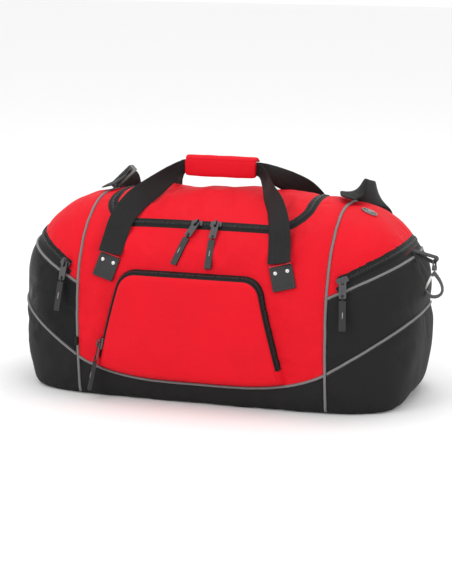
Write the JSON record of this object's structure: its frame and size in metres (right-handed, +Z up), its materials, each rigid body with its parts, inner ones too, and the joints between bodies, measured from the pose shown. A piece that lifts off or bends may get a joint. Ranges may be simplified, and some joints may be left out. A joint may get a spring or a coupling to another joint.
{
  "type": "sports holdall",
  "caption": "Soft sports and kit holdall with a U-zip lid, front and end pockets, two carrying handles with a grip wrap, shoulder strap and snap hook",
  "frame": {"origin": "middle of the base, on the floor, midway between the two ring seams and between front and rear", "axes": "+X along the length, to the right as seen from the front pocket; -Y out of the front pocket; +Z up"},
  "size_m": [0.676, 0.3473, 0.3681],
  "materials": {
    "red_cloth": "red ripstop polyester",
    "black_cloth": "black woven polyester",
    "black_mesh": "glossy black mesh",
    "grey_piping": "grey piping cord",
    "black_webbing": "black herringbone webbing",
    "zip_tape": "black zip tape and nylon coil",
    "gunmetal": "gunmetal plate",
    "nickel": "nickel plate",
    "rubber": "moulded black",
    "board": "stiff base sheet"
  },
  "bodies": {
    "root": {"base_panel": "black_cloth", "base_board": "board", "front_panel": "red_cloth", "rear_panel": "red_cloth", "end_top_left": "red_cloth", "end_lower_left": "black_cloth", "mesh_pocket_left": "black_mesh", "end_zip_tape_left": "zip_tape", "end_zip_chain_left": "zip_tape", "piping_end_lower_left": "grey_piping", "piping_end_upper_left": "grey_piping", "piping_ring_left": "grey_piping", "front_patch_left": "black_cloth", "rear_patch_left": "black_cloth", "end_top_right": "red_cloth", "end_lower_right": "black_cloth", "end_pocket_right": "black_cloth", "end_zip_tape_right": "zip_tape", "end_zip_chain_right": "zip_tape", "piping_end_lower_right": "grey_piping", "piping_end_upper_right": "grey_piping", "piping_ring_right": "grey_piping", "front_patch_right": "black_cloth", "rear_patch_right": "black_cloth", "piping_lower_front": "grey_piping", "piping_lower_rear": "grey_piping", "main_zip_body_tape": "zip_tape", "main_zip_chain": "zip_tape", "front_pocket_gusset": "zip_tape", "front_pocket_zip_chain": "zip_tape", "shoulder_strap": "black_webbing", "clip_loop": "black_webbing", "badge": "nickel"},
    "lid": {"lid_panel": "red_cloth", "main_zip_lid_tape": "zip_tape"},
    "pocket_flap": {"front_pocket_panel": "red_cloth"},
    "front_handle": {"front_handle": "black_webbing", "grip_wrap": "red_cloth"},
    "rear_handle": {"rear_handle": "black_webbing"},
    "wrap_flap": {"grip_wrap_flap": "red_cloth"},
    "strap_slide": {"strap_slide": "rubber"},
    "clip_swivel": {"clip_swivel": "gunmetal"},
    "clip_hook": {"clip_hook": "gunmetal"},
    "clip_gate": {"clip_gate": "nickel"},
    "main_zip_left_slider": {"main_zip_left_slider": "gunmetal"},
    "main_zip_left_pull_tab": {"main_zip_left_pull_tab": "gunmetal"},
    "main_zip_left_grip": {"main_zip_left_grip": "rubber"},
    "main_zip_right_slider": {"main_zip_right_slider": "gunmetal"},
    "main_zip_right_pull_tab": {"main_zip_right_pull_tab": "gunmetal"},
    "main_zip_right_grip": {"main_zip_right_grip": "rubber"},
    "front_pocket_slider": {"front_pocket_slider": "gunmetal"},
    "front_pocket_pull_tab": {"front_pocket_pull_tab": "gunmetal"},
    "front_pocket_grip": {"front_pocket_grip": "rubber"},
    "end_zip_left_slider": {"end_zip_left_slider": "gunmetal"},
    "end_zip_left_pull_tab": {"end_zip_left_pull_tab": "gunmetal"},
    "end_zip_left_grip": {"end_zip_left_grip": "rubber"},
    "end_zip_right_slider": {"end_zip_right_slider": "gunmetal"},
    "end_zip_right_pull_tab": {"end_zip_right_pull_tab": "gunmetal"},
    "end_zip_right_grip": {"end_zip_right_grip": "rubber"}
  },
  "joints": [
    {"name": "front_handle_fold", "type": "hinge", "parent": "root", "child": "front_handle", "pos_m": [0, -0.147, 0.229], "axis": [1, 0, 0], "range_deg": [0, 180]},
    {"name": "rear_handle_fold", "type": "hinge", "parent": "root", "child": "rear_handle", "pos_m": [0, 0.147, 0.229], "axis": [-1, 0, 0], "range_deg": [0, 180]},
    {"name": "lid_open", "type": "hinge", "parent": "root", "child": "lid", "pos_m": [0, 0.097, 0.2802], "axis": [-1, 0, 0], "range_deg": [0, 50]},
    {"name": "wrap_flap_open", "type": "hinge", "parent": "front_handle", "child": "wrap_flap", "pos_m": [0, -0.0085, 0.3651], "axis": [1, 0, 0], "range_deg": [0, 120]},
    {"name": "pocket_flap_open", "type": "hinge", "parent": "root", "child": "pocket_flap", "pos_m": [0, -0.1515, 0.0367], "axis": [-1, 0, 0], "range_deg": [-30, 0]},
    {"name": "main_zip_left_travel", "type": "slide", "parent": "root", "child": "main_zip_left_slider", "axis": [-1, 0, 0], "range_m": [0, 0.075]},
    {"name": "main_zip_left_tab_swing", "type": "hinge", "parent": "main_zip_left_slider", "child": "main_zip_left_pull_tab", "pos_m": [-0.017, -0.10733, 0.27999], "axis": [-0.9397, 0.2552, 0.2279], "range_deg": [0, 100]},
    {"name": "main_zip_left_grip_swing", "type": "hinge", "parent": "main_zip_left_pull_tab", "child": "main_zip_left_grip", "pos_m": [-0.02603, -0.12429, 0.26174], "axis": [-0.9397, 0.2552, 0.2279], "range_deg": [0, 35]},
    {"name": "main_zip_right_travel", "type": "slide", "parent": "root", "child": "main_zip_right_slider", "axis": [1, 0, 0], "range_m": [0, 0.062]},
    {"name": "main_zip_right_tab_swing", "type": "hinge", "parent": "main_zip_right_slider", "child": "main_zip_right_pull_tab", "pos_m": [0.014, -0.10733, 0.27999], "axis": [-1, -0.0001, 0], "range_deg": [0, 100]},
    {"name": "main_zip_right_grip_swing", "type": "hinge", "parent": "main_zip_right_pull_tab", "child": "main_zip_right_grip", "pos_m": [0.014, -0.12548, 0.26068], "axis": [-1, -0.0001, 0], "range_deg": [0, 35]},
    {"name": "front_pocket_travel", "type": "slide", "parent": "root", "child": "front_pocket_slider", "axis": [0.253, 0, 0.9675], "range_m": [0, 0.06]},
    {"name": "front_pocket_tab_swing", "type": "hinge", "parent": "front_pocket_slider", "child": "front_pocket_pull_tab", "pos_m": [-0.15873, -0.16537, 0.0919], "axis": [-0.527, 0.8498, 0], "range_deg": [0, 100]},
    {"name": "front_pocket_grip_swing", "type": "hinge", "parent": "front_pocket_pull_tab", "child": "front_pocket_grip", "pos_m": [-0.16361, -0.1684, 0.06603], "axis": [-0.527, 0.8498, 0], "range_deg": [0, 35]},
    {"name": "end_zip_left_travel", "type": "hinge", "parent": "root", "child": "end_zip_left_slider", "pos_m": [-0.17818, 0.00283, 0.18609], "axis": [-0.4472, 0, -0.8944], "range_deg": [0, 28]},
    {"name": "end_zip_left_tab_swing", "type": "hinge", "parent": "end_zip_left_slider", "child": "end_zip_left_pull_tab", "pos_m": [-0.22391, -0.14109, 0.21069], "axis": [-0.9684, 0.2495, 0], "range_deg": [0, 100]},
    {"name": "end_zip_left_grip_swing", "type": "hinge", "parent": "end_zip_left_pull_tab", "child": "end_zip_left_grip", "pos_m": [-0.2261, -0.1496, 0.18569], "axis": [-0.9684, 0.2495, 0], "range_deg": [0, 35]},
    {"name": "end_zip_right_travel", "type": "hinge", "parent": "root", "child": "end_zip_right_slider", "pos_m": [0.17818, 0.00283, 0.18609], "axis": [-0.4472, 0, 0.8944], "range_deg": [0, 28]},
    {"name": "end_zip_right_tab_swing", "type": "hinge", "parent": "end_zip_right_slider", "child": "end_zip_right_pull_tab", "pos_m": [0.22391, -0.14109, 0.21069], "axis": [-0.9684, -0.2495, 0], "range_deg": [0, 100]},
    {"name": "end_zip_right_grip_swing", "type": "hinge", "parent": "end_zip_right_pull_tab", "child": "end_zip_right_grip", "pos_m": [0.2261, -0.1496, 0.18569], "axis": [-0.9684, -0.2495, 0], "range_deg": [0, 35]},
    {"name": "strap_slide_adjust", "type": "slide", "parent": "root", "child": "strap_slide", "axis": [-0.0201, 0.9925, -0.1203], "range_m": [0, 0.005]},
    {"name": "clip_swing", "type": "hinge", "parent": "root", "child": "clip_swivel", "pos_m": [0.339, -0.02, 0.226], "axis": [0, -1, 0], "range_deg": [0, 80]},
    {"name": "clip_turn", "type": "hinge", "parent": "clip_swivel", "child": "clip_hook", "pos_m": [0.339, -0.02, 0.212], "axis": [0, 0, 1], "continuous": true},
    {"name": "clip_gate_open", "type": "hinge", "parent": "clip_hook", "child": "clip_gate", "pos_m": [0.3346, -0.02, 0.199], "axis": [0, -1, 0], "range_deg": [0, 14], "stiffness_Nm_per_rad": 0.02}
  ],
  "couplings": [
    {"joint": "rear_handle_fold", "follows": "front_handle_fold", "ratio": 1},
    {"joint": "lid_open", "follows": "front_handle_fold", "ratio": 0.27777}
  ]
}
